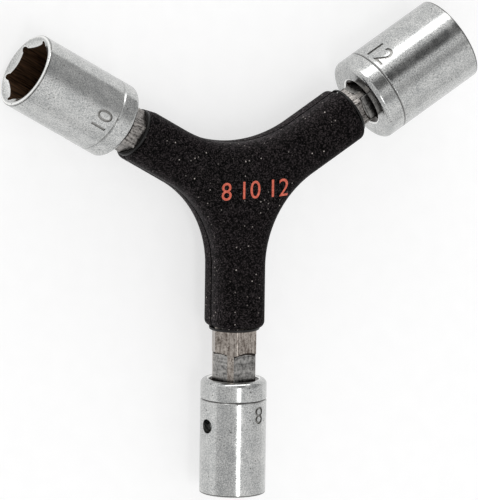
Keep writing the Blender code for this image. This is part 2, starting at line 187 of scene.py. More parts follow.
# Camera, at the photograph's viewing angle
VIEW_AIM = Vector((-0.3, -10.33, 6.91)) * MM
VIEW_AZIMUTH = math.radians(159.97)
VIEW_ELEVATION = math.radians(59.63)
VIEW_ROLL = math.radians(108.23)
VIEW_DISTANCE = 1403.85 * MM
VIEW_LENS = 561.6

FLOOR_SIZE = 3.0
FLOOR_GAP = 0.02 * MM
PAPER_GLOW = 0.58

# Studio lights: name, where it stands, axis of its length, width, length and brightness
LIGHT_DISTANCE = 1.2
LIGHTS = (
    ("narrow_top_light", (-0.15, -0.17, 0.97), (0, 1, 0), 0.17, 0.42, 5.0),
    ("rear_softbox", (-0.02, 0.97, 0.22), (1, 0, 0), 0.42, 1.5, 2.6),
)

# Brightness of the studio, the height on a sphere round it where the ceiling is reached, and its
# cards: where one hangs, its radius and soft edge in degrees, and its brightness
WALL_BRIGHTNESS = 0.86
CEILING_BRIGHTNESS = 0.78
CEILING_START = 0.8
CARDS = (
    ((0.3, -0.6, 0.74), 14, 24, 1.0),
    ((-0.8, -0.17, 0.55), 18, 24, 0.68),
    ((0.02, 0.62, 0.79), 7, 12, 0.1),
    ((0.37, 0.04, 0.93), 4, 9, 0.52),
    ((0.72, 0.2, 0.66), 10, 14, 0.46),
    ((0.86, 0.48, 0.2), 16, 12, 0.5),
)

HEX_COSINE = math.cos(math.pi / HEX_SIDES)
ARM_SPACING = math.radians(120)
HALF_SPACING = ARM_SPACING / 2
JOINTS = {joint["name"]: joint for joint in frame["joints"]}
GRIP_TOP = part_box("grip_front")[1].z
CENTRE = Vector((0, 0, GRIP_TOP / 2))
UP = Vector((0, 0, 1))


class Arm:
    """One arm of the Y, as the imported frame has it. Local Z runs out along the arm."""

    def __init__(self, size, saddle_before):
        self.size = size
        self.saddle_before = saddle_before
        self.out = Vector(JOINTS["socket_" + size + "_pull"]["axis"]).normalized()
        self.press = Vector(JOINTS["detent_" + size + "_press"]["axis"]).normalized()
        self.angle = math.atan2(self.out.y, self.out.x)
        ball_side = -self.press
        axes = (ball_side.cross(self.out), ball_side, self.out)
        turned = Matrix(axes).transposed().to_4x4()
        self.matrix = Matrix.Translation(CENTRE) @ turned
        self.inverse = self.matrix.inverted()
        self.front_angle = math.atan2(UP.dot(axes[1]), UP.dot(axes[0]))
        socket = self.local_points("socket_" + size)
        self.drive_face = min(point.z for point in socket)
        self.socket_length = max(point.z for point in socket) - self.drive_face
        self.radius = max(point.xy.length for point in socket)
        self.nut_apothem = float(size) * MM / 2 + NUT_FIT
        self.nut_reach = self.nut_apothem / HEX_COSINE + NUT_CORNER_RELIEF
        self.ball_height = self.middle("detent_ball_" + size).z
        self.ball_out = self.middle("detent_ball_" + size).y
        collar = self.local_points("end_collar_" + size)
        self.collar_start = min(point.z for point in collar)
        self.collar_length = max(point.z for point in collar) - self.collar_start
        self.collar_radius = max(point.xy.length for point in collar)
        self.length = self.collar_start - COLLAR_GAP

    def local_points(self, node):
        return [self.inverse @ vertex.co for vertex in frame["nodes"][node].data.vertices]

    def middle(self, node):
        low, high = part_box(node)
        return self.inverse @ ((low + high) / 2)

    def place(self, along):
        return self.matrix @ Matrix.Translation((0, 0, along))


ARMS = (Arm("12", SIDE_SADDLE_RADIUS), Arm("10", TOP_SADDLE_RADIUS), Arm("8", SIDE_SADDLE_RADIUS))


# Nodes

def find_socket(sockets, key=None):
    """The socket with that number, or the first one in use with that name or with any name."""
    if isinstance(key, int):
        return sockets[key]
    return next(socket for socket in sockets if socket.enabled and key in (None, socket.name))


def add_node(tree, kind, links=None, **settings):
    """Add a node with its settings; links give its inputs a value, a node or a node's output."""
    node = tree.nodes.new(kind)
    for name, value in settings.items():
        setattr(node, name, value)
    for key, value in (links or {}).items():
        socket = find_socket(node.inputs, key)
        if isinstance(value, bpy.types.Node):
            value = find_socket(value.outputs)
        if isinstance(value, bpy.types.NodeSocket):
            tree.links.new(value, socket)
        else:
            socket.default_value = value
    return node


def linear(hex_colour):
    """An sRGB colour such as #c0ffee as linear red, green, blue and alpha."""
    shares = [int(hex_colour[i:i + 2], 16) / 255 for i in (1, 3, 5)]
    return [s / 12.92 if s <= 0.04045 else ((s + 0.055) / 1.055) ** 2.4 for s in shares] + [1]


def start_material(name, **constants):
    """A material with those values on its shader's own sockets; gives it and its tree."""
    made = bpy.data.materials.new(name)
    made.use_nodes = True
    shader = made.node_tree.nodes["Principled BSDF"]
    for key, value in constants.items():
        shader.inputs[key.replace("_", " ")].default_value = value
    return made, made.node_tree


def finish_material(made, colour, dull=None, bump=None):
    """Link the nodes that give the material's colour and, where given, roughness and bumps."""
    shader = made.node_tree.nodes["Principled BSDF"]
    for key, node, output in (("Base Color", colour, 2), ("Roughness", dull, "Result"),
                              ("Normal", bump, "Normal")):
        if node:
            made.node_tree.links.new(node.outputs[output], shader.inputs[key])
    return made


def scattered_spots(tree, place, size, fade, rarity, strongest):
    """Soft round spots in some of the cells of that size in metres. They fade over that range of
    distance from a cell's middle, come in over the range of rarity of the cells' random shares,
    and get as strong as strongest."""
    cells = add_node(tree, "ShaderNodeTexVoronoi", {
        "Vector": place, "Scale": 1 / size, "Randomness": 1.0})
    depth = add_node(tree, "ShaderNodeMapRange", {
        "Value": cells.outputs["Distance"], "From Min": fade[0], "From Max": fade[1],
        "To Min": 1.0, "To Max": 0.0})
    share = add_node(tree, "ShaderNodeSeparateColor", {"Color": cells.outputs["Color"]})
    few = add_node(tree, "ShaderNodeMapRange", {
        "Value": share.outputs["Red"], "From Min": rarity[0], "From Max": rarity[1],
        "To Min": 0.0, "To Max": strongest})
    return add_node(tree, "ShaderNodeMath", {0: depth, 1: few}, operation="MULTIPLY")


def spark_eroded_nylon():
    """Glass-filled nylon moulded in a spark-eroded tool: near black, with a fine dull grain, and a
    painted sheen that makes the sides greyer."""
    made, tree = start_material("glass_filled_nylon_moulded", Specular_IOR_Level=0.02,
                                Sheen_Weight=0.05, Sheen_Roughness=0.25)
    place = add_node(tree, "ShaderNodeTexCoord").outputs["Object"]
    grain = add_node(tree, "ShaderNodeTexNoise", {
        "Vector": place, "Scale": 1 / (0.4 * MM), "Detail": 2.0, "Roughness": 0.7})
    drift = add_node(tree, "ShaderNodeTexNoise", {
        "Vector": place, "Scale": 1 / (9 * MM), "Detail": 2.0})
    glass = add_node(tree, "ShaderNodeTexVoronoi", {
        "Vector": place, "Scale": 1 / (0.19 * MM), "Randomness": 1.0})
    glint = add_node(tree, "ShaderNodeSeparateColor", {"Color": glass.outputs["Color"]})
    dust = scattered_spots(tree, place, 0.8 * MM, (0.1, 0.2), (0.74, 1.0), 0.9)
    bright = add_node(tree, "ShaderNodeMath", {0: glint.outputs["Red"], 1: 3.0},
                      operation="POWER")
    face = add_node(tree, "ShaderNodeMix", {
        "Factor": bright, 6: linear("#040404"), 7: linear("#393435")}, data_type="RGBA")
    # Painted sheen: towards the sides the grip's colour is mixed to these lighter greys.
    sheened_sides = add_node(tree, "ShaderNodeMix", {
        "Factor": bright, 6: linear("#141313"), 7: linear("#524c4e")}, data_type="RGBA")
    height = add_node(tree, "ShaderNodeSeparateXYZ", {"Vector": place})
    above = add_node(tree, "ShaderNodeMath", {0: height.outputs["Z"], 1: CENTRE.z},
                     operation="SUBTRACT")
    from_seam = add_node(tree, "ShaderNodeMath", {0: above}, operation="ABSOLUTE")
    side = add_node(tree, "ShaderNodeMapRange", {
        "Value": from_seam, "From Min": SIDE_SHEEN_FULL_TO, "From Max": SIDE_SHEEN_ENDS,
        "To Min": 1.0, "To Max": 0.0})
    base = add_node(tree, "ShaderNodeMix", {
        "Factor": side, 6: face.outputs[2], 7: sheened_sides.outputs[2]}, data_type="RGBA")
    dusty = add_node(tree, "ShaderNodeMix", {
        "Factor": dust, 6: base.outputs[2], 7: linear("#c4bcb6")}, data_type="RGBA")
    # Painted shade: the lips of the seam are coloured black.
    seam = add_node(tree, "ShaderNodeAttribute", attribute_name="seam").outputs["Fac"]
    colour = add_node(tree, "ShaderNodeMix", {
        "Factor": seam, 6: dusty.outputs[2], 7: linear("#000000")}, data_type="RGBA")
    dull = add_node(tree, "ShaderNodeMapRange", {
        "Value": drift, "From Min": 0.3, "From Max": 0.7, "To Min": 0.5, "To Max": 0.62})
    bump = add_node(tree, "ShaderNodeBump", {
        "Height": grain, "Strength": 0.35, "Distance": 0.05 * MM})
    return finish_material(made, colour, dull, bump)


def satin_nylon():
    """Unfilled nylon of the small end collars: black, smoother than the grip, with a soft sheen."""
    made, tree = start_material("black_nylon_moulded", Specular_IOR_Level=0.3)
    place = add_node(tree, "ShaderNodeTexCoord").outputs["Object"]
    grain = add_node(tree, "ShaderNodeTexNoise", {
        "Vector": place, "Scale": 1 / (0.25 * MM), "Detail": 3.0})
    colour = add_node(tree, "ShaderNodeMix", {
        "Factor": grain, 6: linear("#080808"), 7: linear("#161515")}, data_type="RGBA")
    dull = add_node(tree, "ShaderNodeMapRange", {"Value": grain, "To Min": 0.32, "To Max": 0.48})
    bump = add_node(tree, "ShaderNodeBump", {
        "Height": grain, "Strength": 0.3, "Distance": 0.02 * MM})
    return finish_material(made, colour, dull, bump)


def arm_coordinates(tree):
    """Place on the piece in its arm's own axes, stored on the mesh by store_arm_place."""
    return add_node(tree, "ShaderNodeAttribute", attribute_name="arm_place").outputs["Vector"]


def satin_chrome():
    """Chrome plate on a turned and tumbled socket: a soft mirror with fine pits and lathe rings."""
    made, tree = start_material("chrome_plate_turned", Metallic=1.0)
    place = arm_coordinates(tree)
    ringed = add_node(tree, "ShaderNodeMapping", {"Vector": place, "Scale": (0.04, 0.04, 1)})
    rings = add_node(tree, "ShaderNodeTexNoise", {
        "Vector": ringed, "Scale": 1 / (0.22 * MM), "Detail": 2.0})
    cloud = add_node(tree, "ShaderNodeTexNoise", {
        "Vector": place, "Scale": 1 / (2.6 * MM), "Detail": 5.0, "Roughness": 0.65})
    peel = add_node(tree, "ShaderNodeTexNoise", {
        "Vector": place, "Scale": 1 / (0.22 * MM), "Detail": 2.0, "Roughness": 0.6})
    pitted = scattered_spots(tree, place, 0.75 * MM, (0.1, 0.22), (0.62, 0.92), 0.95)
    mottle = add_node(tree, "ShaderNodeMath", {0: cloud, 1: 0.35, 2: peel},
                      operation="MULTIPLY_ADD")
    tone = add_node(tree, "ShaderNodeMapRange", {
        "Value": mottle, "From Min": 0.52, "From Max": 0.84})
    plate = add_node(tree, "ShaderNodeMix", {
        "Factor": tone, 6: linear("#9c9e9e"), 7: linear("#d6d6d4")}, data_type="RGBA")
    # Painted highlight: the lips of both mouths, the nut end's face and the nut mouth's edge are
    # mixed towards near white.
    polish = add_node(tree, "ShaderNodeAttribute", attribute_name="polish").outputs["Fac"]
    bright = add_node(tree, "ShaderNodeMix", {
        "Factor": polish, 6: plate.outputs[2], 7: linear("#f6f6f4")}, data_type="RGBA")
    pocks = add_node(tree, "ShaderNodeMix", {
        "Factor": pitted, 6: bright.outputs[2], 7: linear("#45413e")}, data_type="RGBA")
    # Painted shade: the grooves and the drive mouth, and a painted dark reflection on the nut
    # mouth's rim, mixed towards dark brown.
    grime = add_node(tree, "ShaderNodeAttribute", attribute_name="grime").outputs["Fac"]
    colour = add_node(tree, "ShaderNodeMix", {
        "Factor": grime, 6: pocks.outputs[2], 7: linear("#2e2925")}, data_type="RGBA")
    dull = add_node(tree, "ShaderNodeMapRange", {
        "Value": cloud, "From Min": 0.3, "From Max": 0.7, "To Min": 0.13, "To Max": 0.24})
    relief = add_node(tree, "ShaderNodeMath", {0: rings, 1: peel}, operation="ADD")
    pocked = add_node(tree, "ShaderNodeMath", {0: relief, 1: pitted}, operation="SUBTRACT")
    bump = add_node(tree, "ShaderNodeBump", {
        "Height": pocked, "Strength": 0.2, "Distance": 0.009 * MM})
    return finish_material(made, colour, dull, bump)


def broached_steel():
    """Broached carbon steel under thin plate, oiled: brown and dark, streaked along the stroke."""
    made, tree = start_material("broached_steel_oiled", Metallic=0.6)
    place = arm_coordinates(tree)
    drawn = add_node(tree, "ShaderNodeMapping", {"Vector": place, "Scale": (1, 1, 0.08)})
    streaks = add_node(tree, "ShaderNodeTexNoise", {
        "Vector": drawn, "Scale": 1 / (0.3 * MM), "Detail": 3.0})
    tone = add_node(tree, "ShaderNodeMapRange", {
        "Value": streaks, "From Min": 0.35, "From Max": 0.65})
    colour = add_node(tree, "ShaderNodeMix", {
        "Factor": tone, 6: linear("#241a13"), 7: linear("#745841")}, data_type="RGBA")
    dull = add_node(tree, "ShaderNodeMapRange", {"Value": streaks, "To Min": 0.3, "To Max": 0.5})
    bump = add_node(tree, "ShaderNodeBump", {
        "Height": streaks, "Strength": 0.4, "Distance": 0.02 * MM})
    return finish_material(made, colour, dull, bump)


def struck_steel():
    """Floor of a struck mark: the plate is thin and dull there, and dirt has stayed in it."""
    made, tree = start_material("struck_mark_plated", Metallic=1.0)
    place = arm_coordinates(tree)
    dirt = add_node(tree, "ShaderNodeTexNoise", {
        "Vector": place, "Scale": 1 / (0.4 * MM), "Detail": 3.0})
    colour = add_node(tree, "ShaderNodeMix", {
        "Factor": dirt, 6: linear("#6b6a68"), 7: linear("#a6a5a2")}, data_type="RGBA")
    dull = add_node(tree, "ShaderNodeMapRange", {"Value": dirt, "To Min": 0.3, "To Max": 0.5})
    return finish_material(made, colour, dull)


def painted_seat_shade(tree, colour):
    """A bar's colour with a dark band of painted shade where the socket's mouth sits."""
    past = add_node(tree, "ShaderNodeAttribute", attribute_name="past_socket_end").outputs["Fac"]
    off = add_node(tree, "ShaderNodeMath", {0: past, 1: SEAT_MIDDLE}, operation="SUBTRACT")
    away = add_node(tree, "ShaderNodeMath", {0: off}, operation="ABSOLUTE")
    seat_edge_noise = add_node(tree, "ShaderNodeTexNoise", {
        "Vector": arm_coordinates(tree), "Scale": 1 / (0.7 * MM), "Detail": 4.0})
    ragged = add_node(tree, "ShaderNodeMath", {0: seat_edge_noise, 1: SEAT_RAGGED, 2: away},
                      operation="MULTIPLY_ADD")
    # Painted shade: a dark band on the bar where the socket's mouth sits.
    band = add_node(tree, "ShaderNodeMapRange", {
        "Value": ragged, "From Min": SEAT_HALF_BAND - SEAT_FADE, "From Max": SEAT_HALF_BAND,
        "To Min": SEAT_SHADE, "To Max": 0.0})
    return add_node(tree, "ShaderNodeMix", {
        "Factor": band, 6: colour.outputs[2], 7: linear("#17181c")}, data_type="RGBA")


def drawn_bar_steel(name, low, high):
    """Cold-drawn hexagon bar, thinly plated: mottled between two tones, with streaks along it."""
    made, tree = start_material(name, Metallic=1.0)
    place = arm_coordinates(tree)
    drawn = add_node(tree, "ShaderNodeMapping", {"Vector": place, "Scale": (1, 1, 0.2)})
    streaks = add_node(tree, "ShaderNodeTexNoise", {
        "Vector": drawn, "Scale": 1 / (0.35 * MM), "Detail": 2.0})
    speckle = add_node(tree, "ShaderNodeTexNoise", {
        "Vector": place, "Scale": 1 / (0.38 * MM), "Detail": 3.0, "Roughness": 0.7})
    relief = add_node(tree, "ShaderNodeMath", {0: streaks, 1: speckle}, operation="ADD")
    tone = add_node(tree, "ShaderNodeMapRange", {
        "Value": relief, "From Min": 0.75, "From Max": 1.2})
    colour = add_node(tree, "ShaderNodeMix", {
        "Factor": tone, 6: linear(low), 7: linear(high)}, data_type="RGBA")
    colour = painted_seat_shade(tree, colour)
    dull = add_node(tree, "ShaderNodeMapRange", {
        "Value": speckle, "From Min": 0.3, "From Max": 0.7, "To Min": 0.2, "To Max": 0.42})
    bump = add_node(tree, "ShaderNodeBump", {
        "Height": relief, "Strength": 0.4, "Distance": 0.03 * MM})
    return finish_material(made, colour, dull, bump)


def milled_steel():
    """Flats of the square, cut by an end mill: cooler and brighter, with faint marks across."""
    made, tree = start_material("milled_steel_plated", Metallic=1.0)
    place = arm_coordinates(tree)
    across = add_node(tree, "ShaderNodeMapping", {"Vector": place, "Scale": (0.06, 0.06, 1)})
    marks = add_node(tree, "ShaderNodeTexNoise", {
        "Vector": across, "Scale": 1 / (0.4 * MM), "Detail": 2.0})
    patches = add_node(tree, "ShaderNodeTexNoise", {
        "Vector": place, "Scale": 1 / (0.5 * MM), "Detail": 3.0, "Roughness": 0.7})
    mixed = add_node(tree, "ShaderNodeMath", {0: marks, 1: 0.45, 2: patches},
                     operation="MULTIPLY_ADD")
    tone = add_node(tree, "ShaderNodeMapRange", {
        "Value": mixed, "From Min": 0.5, "From Max": 0.92})
    colour = add_node(tree, "ShaderNodeMix", {
        "Factor": tone, 6: linear("#51504f"), 7: linear("#b3b1ae")}, data_type="RGBA")
    colour = painted_seat_shade(tree, colour)
    dull = add_node(tree, "ShaderNodeMapRange", {"Value": patches, "To Min": 0.2, "To Max": 0.42})
    bump = add_node(tree, "ShaderNodeBump", {
        "Height": marks, "Strength": 0.4, "Distance": 0.02 * MM})
    return finish_material(made, colour, dull, bump)


def small_steel(name, low, high, roughness, grain):
    """Small inner steel parts: an even steel colour with a grain of its own size in metres."""
    made, tree = start_material(name, Metallic=1.0, Roughness=roughness)
    place = add_node(tree, "ShaderNodeTexCoord").outputs["Object"]
    noise = add_node(tree, "ShaderNodeTexNoise", {
        "Vector": place, "Scale": 1 / grain, "Detail": 3.0})
    colour = add_node(tree, "ShaderNodeMix", {
        "Factor": noise, 6: linear(low), 7: linear(high)}, data_type="RGBA")
    bump = add_node(tree, "ShaderNodeBump", {
        "Height": noise, "Strength": 0.2, "Distance": grain / 20})
    return finish_material(made, colour, bump=bump)


def pad_printed_ink():
    """Pad-printed ink: orange-red, matt, a little thin where the grain shows through."""
    made, tree = start_material("pad_printed_ink")
    place = add_node(tree, "ShaderNodeTexCoord").outputs["Object"]
    thin = add_node(tree, "ShaderNodeTexNoise", {
        "Vector": place, "Scale": 1 / (0.4 * MM), "Detail": 4.0, "Roughness": 0.7})
    tone = add_node(tree, "ShaderNodeMapRange", {
        "Value": thin, "From Min": 0.35, "From Max": 0.7})
    colour = add_node(tree, "ShaderNodeMix", {
        "Factor": tone, 6: linear("#b4432f"), 7: linear("#ee7a60")}, data_type="RGBA")
    dull = add_node(tree, "ShaderNodeMapRange", {"Value": thin, "To Min": 0.45, "To Max": 0.65})
    return finish_material(made, colour, dull)


def studio_paper():
    """Pale paper with a barely visible tooth, lit from below until it looks white. The glow keeps
    the shadows faint."""
    made, tree = start_material("background_paper_lit", Roughness=0.9,
                                Emission_Color=linear("#ffffff"), Emission_Strength=PAPER_GLOW)
    place = add_node(tree, "ShaderNodeTexCoord").outputs["Object"]
    tooth = add_node(tree, "ShaderNodeTexNoise", {"Vector": place, "Scale": 1 / (3 * MM)})
    colour = add_node(tree, "ShaderNodeMix", {
        "Factor": tooth, 6: linear("#b2b2b2"), 7: linear("#bcbcbc")}, data_type="RGBA")
    return finish_material(made, colour)


# Meshes

def link_object(name, mesh):
    made = bpy.data.objects.new(name, mesh)
    bpy.context.collection.objects.link(made)
    return made


def finished_mesh(carrier):
    """The object's evaluated mesh as a plain mesh. The object and its modifiers go."""
    evaluated = carrier.evaluated_get(bpy.context.evaluated_depsgraph_get())
    mesh = bpy.data.meshes.new_from_object(evaluated)
    bpy.data.objects.remove(carrier)
    return mesh


def mesh_from(name, bm, material_index=0):
    bmesh.ops.recalc_face_normals(bm, faces=bm.faces)
    for face in bm.faces:
        face.material_index = material_index
    mesh = bpy.data.meshes.new(name)
    bm.to_mesh(mesh)
    bm.free()
    return mesh


def arc(centre, radius, start, end, steps):
    """Points along an arc in the plane, with both ends."""
    angles = [start + (end - start) * i / steps for i in range(steps + 1)]
    return [(centre[0] + radius * math.cos(a), centre[1] + radius * math.sin(a)) for a in angles]


def polygon(radius, sides, start=0.0):
    """Corners of a regular polygon of that corner radius."""
    step = 2 * math.pi / sides
    return [(radius * math.cos(start + step * i), radius * math.sin(start + step * i))
            for i in range(sides)]


def hexagon(across_flats):
    """A hexagon with a flat facing local X."""
    return polygon(across_flats / 2 / HEX_COSINE, HEX_SIDES, math.pi / HEX_SIDES)


def prism(name, outline, low, high, material_index=0):
    """A straight solid on an outline, from low to high along Z."""
    bm = bmesh.new()
    base = bm.faces.new([bm.verts.new((x, y, low)) for x, y in outline])
    grown = bmesh.ops.extrude_face_region(bm, geom=[base])
    top = [v for v in grown["geom"] if isinstance(v, bmesh.types.BMVert)]
    bmesh.ops.translate(bm, verts=top, vec=(0, 0, high - low))
    return mesh_from(name, bm, material_index)


def carve(mesh, steps):
    """Cut solids out of a mesh or join them to it; steps are (mesh, matrix, operation)."""
    target = link_object(mesh.name, mesh)
    cutters = []
    for cutter_mesh, matrix, operation in steps:
        cutter = link_object(cutter_mesh.name, cutter_mesh)
        cutter.matrix_world = matrix
        cutters.append(cutter)
        modifier = target.modifiers.new(cutter.name, "BOOLEAN")
        modifier.operation = operation
        modifier.solver = "EXACT"
        modifier.object = cutter
    result = finished_mesh(target)
    for cutter in cutters:
        bpy.data.objects.remove(cutter)
    return result


def smooth_by_angle(mesh, angle=SHARP_ANGLE):
    mesh.shade_smooth()
    mesh.set_sharp_from_angle(angle=angle)


def give_looks(mesh, looks):
    """Put materials on a mesh after those that it has, so that its faces keep their numbers."""
    for look in looks:
        if look.name not in mesh.materials:
            mesh.materials.append(look)


def add_piece(name, mesh, body, replaced, looks):
    """A finished piece at the origin: it rides on its body and stands for a CAD node."""
    mesh.name = name
    give_looks(mesh, looks)
    made = link_object(name, mesh)
    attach(made, body)
    if replaced:
        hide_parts(replaced)
    return made


def store_arm_place(mesh, arm):
    """Store each point's place in the arm's own axes, for patterns that follow the arm."""
    places = mesh.attributes.new("arm_place", "FLOAT_VECTOR", "POINT")
    for vertex, item in zip(mesh.vertices, places.data):
        item.vector = arm.inverse @ vertex.co


def store_values(mesh, name, values):
    mesh.attributes.new(name, "FLOAT", "POINT").data.foreach_set("value", values)


def store_seat(mesh, arm):
    """Store how far along the arm each point of a bar lies past the socket's end."""
    past = [(arm.inverse @ vertex.co).z - arm.drive_face for vertex in mesh.vertices]
    store_values(mesh, "past_socket_end", past)


def store_painted_light(mesh, arm):
    """Store for the plate's material where shade is painted, in the groove and deep in the drive
    mouth, where a dark reflection is painted, on the nut mouth's outer edge, and where highlights
    are painted, on the lips of both mouths, the nut end's face and the nut mouth's edge."""
    length = arm.socket_length
    rim_start = length - MOUTH_EDGE_RADIUS - MERGE_DISTANCE
    mouth_edge = DRIVE_MOUTH_DIAMETER / 2 + MERGE_DISTANCE
    lip_end = mouth_edge + DRIVE_LIP_RADIUS
    cone_end = arm.nut_reach + NUT_MOUTH_WIDENING + MERGE_DISTANCE
    painted_light = {"grime": [], "polish": []}
    for vertex in mesh.vertices:
        place = arm.inverse @ vertex.co
        radius, height = place.xy.length, place.z - arm.drive_face
        in_groove = (arm.radius - radius > GROOVE_DEPTH / 2
                     and abs(height - GROOVE_FROM_DRIVE_FACE) < GROOVE_WIDTH / 2)
        in_mouth = 0 < height < 2 * DRIVE_MOUTH_DEPTH and radius < mouth_edge
        on_rim = rim_start < height < rim_start + RIM_LINE and radius > arm.radius - RIM_LINE
        on_lip = height < DRIVE_LIP_RADIUS and mouth_edge < radius < lip_end
        on_face = height > rim_start + RIM_LINE and cone_end < radius < arm.radius - RIM_LINE
        on_nut_edge = (length - NUT_MOUTH_DEPTH < height < length - MERGE_DISTANCE
                       and radius < cone_end)
        painted_light["grime"].append(max(in_mouth, RIM_DARK_REFLECTION * on_rim, GROOVE_SHADE[arm.size] * in_groove))
        painted_light["polish"].append(max(on_lip, on_face, NUT_EDGE_HIGHLIGHT * on_nut_edge))
    for name, shares in painted_light.items():
        store_values(mesh, name, shares)


def store_seam_shade(mesh):
    """Store for the nylon's material where the lips of the seam are, which it paints black as
    painted shade.
    """
    reach = SEAM_GAP / 2 + SEAM_LIP - MERGE_DISTANCE
    shares = [float(abs(vertex.co.z - CENTRE.z) < reach) for vertex in mesh.vertices]
    store_values(mesh, "seam", shares)


# Geometry Nodes trees

def new_tree(name, inputs):
    """A tree with a geometry input and output and the named inputs; gives it and its input node."""
    tree = bpy.data.node_groups.new(name, "GeometryNodeTree")
    tree.interface.new_socket("Geometry", in_out="INPUT", socket_type="NodeSocketGeometry")
    for label, kind in inputs.items():
        tree.interface.new_socket(label, in_out="INPUT", socket_type="NodeSocket" + kind)
    tree.interface.new_socket("Geometry", in_out="OUTPUT", socket_type="NodeSocketGeometry")
    return tree, add_node(tree, "NodeGroupInput").outputs


def finish_tree(tree, given, shape):
    """End the tree as plain faces with their material."""
    real = add_node(tree, "GeometryNodeRealizeInstances", {"Geometry": shape})
    painted = add_node(tree, "GeometryNodeSetMaterial", {
        "Geometry": real, "Material": given["Material"]})
    add_node(tree, "NodeGroupOutput", {"Geometry": painted})
    return tree


def grow(name, tree, values, start=None):
    """Run a tree once on a start mesh with values for its named inputs; gives a plain mesh."""
    carrier = link_object(name, start or bpy.data.meshes.new(name))
    modifier = carrier.modifiers.new(name, "NODES")
    modifier.node_group = tree
    for item in tree.interface.items_tree:
        if item.in_out == "INPUT" and item.name in values:
            modifier[item.identifier] = values[item.name]
    return finished_mesh(carrier)


def turning_tree():
    """Turns the start mesh, a profile of edges in (radius, -height), about Z."""
    tree, given = new_tree("turn_profile", {
        "Path Radius": "Float", "Sides": "Int", "Merge Distance": "Float", "Material": "Material"})
    inwards = add_node(tree, "ShaderNodeMath", {0: given["Path Radius"], 1: -1.0},
                       operation="MULTIPLY")
    shift = add_node(tree, "ShaderNodeCombineXYZ", {"X": inwards})
    profile = add_node(tree, "GeometryNodeMeshToCurve", {"Mesh": given["Geometry"]})
    moved = add_node(tree, "GeometryNodeTransform", {"Geometry": profile, "Translation": shift})
    circle = add_node(tree, "GeometryNodeCurvePrimitiveCircle", {
        "Resolution": given["Sides"], "Radius": given["Path Radius"]})
    turned = add_node(tree, "GeometryNodeCurveToMesh", {"Curve": circle, "Profile Curve": moved})
    closed = add_node(tree, "GeometryNodeMergeByDistance", {
        "Geometry": turned, "Distance": given["Merge Distance"]})
    return finish_tree(tree, given, closed)


def coiling_tree():
    """Winds a round wire up Z from the origin."""
    tree, given = new_tree("wind_spring", {
        "Turns": "Float", "Steps": "Int", "Coil Radius": "Float", "Height": "Float",
        "Wire Radius": "Float", "Wire Sides": "Int", "Material": "Material"})
    helix = add_node(tree, "GeometryNodeCurveSpiral", {
        "Resolution": given["Steps"], "Rotations": given["Turns"], "Height": given["Height"],
        "Start Radius": given["Coil Radius"], "End Radius": given["Coil Radius"]})
    section = add_node(tree, "GeometryNodeCurvePrimitiveCircle", {
        "Resolution": given["Wire Sides"], "Radius": given["Wire Radius"]})
    wire = add_node(tree, "GeometryNodeCurveToMesh", {
        "Curve": helix, "Profile Curve": section, "Fill Caps": True})
    return finish_tree(tree, given, wire)


def flat_number(tree, given):
    """Nodes for a closed slab in the shape of the number, Thickness deep, its face at Z zero."""
    text = add_node(tree, "GeometryNodeStringToCurves", {
        "String": given["Number"], "Size": given["Size"]}, align_x="CENTER")
    letters = add_node(tree, "GeometryNodeRealizeInstances", {"Geometry": text})
    filled = add_node(tree, "GeometryNodeFillCurve", {"Curve": letters})
    fine = add_node(tree, "GeometryNodeSubdivideMesh", {"Mesh": filled, "Level": NUMBER_LEVEL})
    welded = add_node(tree, "GeometryNodeMergeByDistance", {
        "Geometry": fine, "Distance": MERGE_DISTANCE})
    deep = add_node(tree, "ShaderNodeMath", {0: given["Thickness"], 1: -1.0},
                    operation="MULTIPLY")
    down = add_node(tree, "ShaderNodeCombineXYZ", {"Z": deep})
    flipped = add_node(tree, "GeometryNodeFlipFaces", {"Mesh": welded})
    lower = add_node(tree, "GeometryNodeExtrudeMesh", {
        "Mesh": flipped, "Offset": down, "Offset Scale": 1.0, "Individual": False})
    slab = add_node(tree, "GeometryNodeJoinGeometry", {"Geometry": lower})
    tree.links.new(welded.outputs[0], slab.inputs[0])
    return add_node(tree, "GeometryNodeMergeByDistance", {
        "Geometry": slab, "Distance": MERGE_DISTANCE})


def number_round_arm_tree():
    """A number that follows a cylinder about Z, its top to +Z and its face Above the surface."""
    tree, given = new_tree("number_round_arm", {
        "Number": "String", "Size": "Float", "Thickness": "Float", "Above": "Float",
        "Radius": "Float", "Angle": "Float", "Baseline": "Float", "Material": "Material"})
    slab = flat_number(tree, given)
    place = add_node(tree, "GeometryNodeInputPosition")
    split = add_node(tree, "ShaderNodeSeparateXYZ", {"Vector": place})
    swing = add_node(tree, "ShaderNodeMath", {0: split.outputs["X"], 1: given["Radius"]},
                     operation="DIVIDE")
    angle = add_node(tree, "ShaderNodeMath", {0: swing, 1: given["Angle"]})
    surface = add_node(tree, "ShaderNodeMath", {0: given["Radius"], 1: given["Above"]})
    radial = add_node(tree, "ShaderNodeMath", {0: surface, 1: split.outputs["Z"]})
    along = add_node(tree, "ShaderNodeMath", {0: split.outputs["Y"], 1: given["Baseline"]})
    point = add_node(tree, "ShaderNodeCombineXYZ", {"X": radial, "Z": along})
    wrapped = add_node(tree, "ShaderNodeVectorRotate", {"Vector": point, "Angle": angle},
                       rotation_type="Z_AXIS")
    moved = add_node(tree, "GeometryNodeSetPosition", {"Geometry": slab, "Position": wrapped})
    return finish_tree(tree, given, moved)


